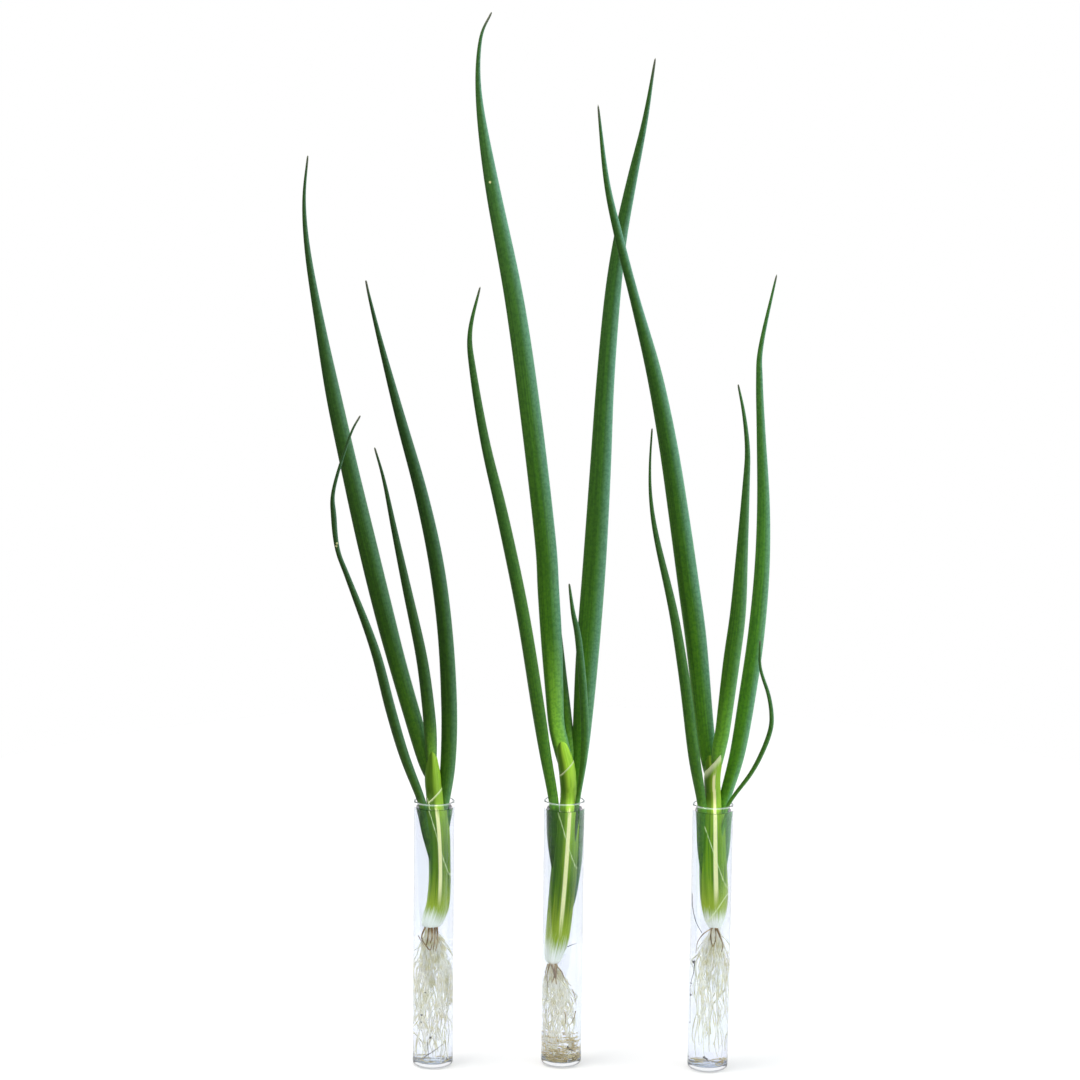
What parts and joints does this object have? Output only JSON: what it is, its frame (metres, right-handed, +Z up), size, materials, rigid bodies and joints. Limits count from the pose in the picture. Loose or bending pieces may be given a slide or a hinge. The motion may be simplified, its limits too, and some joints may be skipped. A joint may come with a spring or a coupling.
{
  "type": "spring onion bunch",
  "caption": "Bunch of spring onion plants standing upright in slim glass tubes of water, with long fanned green leaves, white bulbs and hanging roots.",
  "frame": {"origin": "centre of the middle tube's foot, on the surface that the tubes stand on", "axes": "+Z up along the tubes, +X along the row of tubes to the viewer's right, -Y to the front"},
  "size_m": [0.232, 0.0709, 0.5172],
  "materials": {
    "tube_glass": "clear, polished",
    "water": "clear water",
    "bulb_and_stem": "smooth, satin, ribbed sheaths",
    "leaf": "waxy satin, fine lengthwise ribs",
    "root": "moist, satin"
  },
  "bodies": {
    "root": {"left_tube": "tube_glass", "left_water": "water", "left_stem": "bulb_and_stem", "left_roots": "root", "left_leaf_tall": "leaf", "left_leaf_right": "leaf", "left_leaf_curled": "leaf", "left_leaf_young": "leaf", "middle_tube": "tube_glass", "middle_water": "water", "middle_stem": "bulb_and_stem", "middle_roots": "root", "middle_leaf_tall": "leaf", "middle_leaf_right": "leaf", "middle_leaf_left": "leaf", "middle_leaf_front": "leaf", "middle_leaf_young": "leaf", "right_tube": "tube_glass", "right_water": "water", "right_stem": "bulb_and_stem", "right_roots": "root", "right_leaf_tall": "leaf", "right_leaf_right": "leaf", "right_leaf_middle": "leaf", "right_leaf_left": "leaf", "right_leaf_curled": "leaf"}
  },
  "joints": []
}
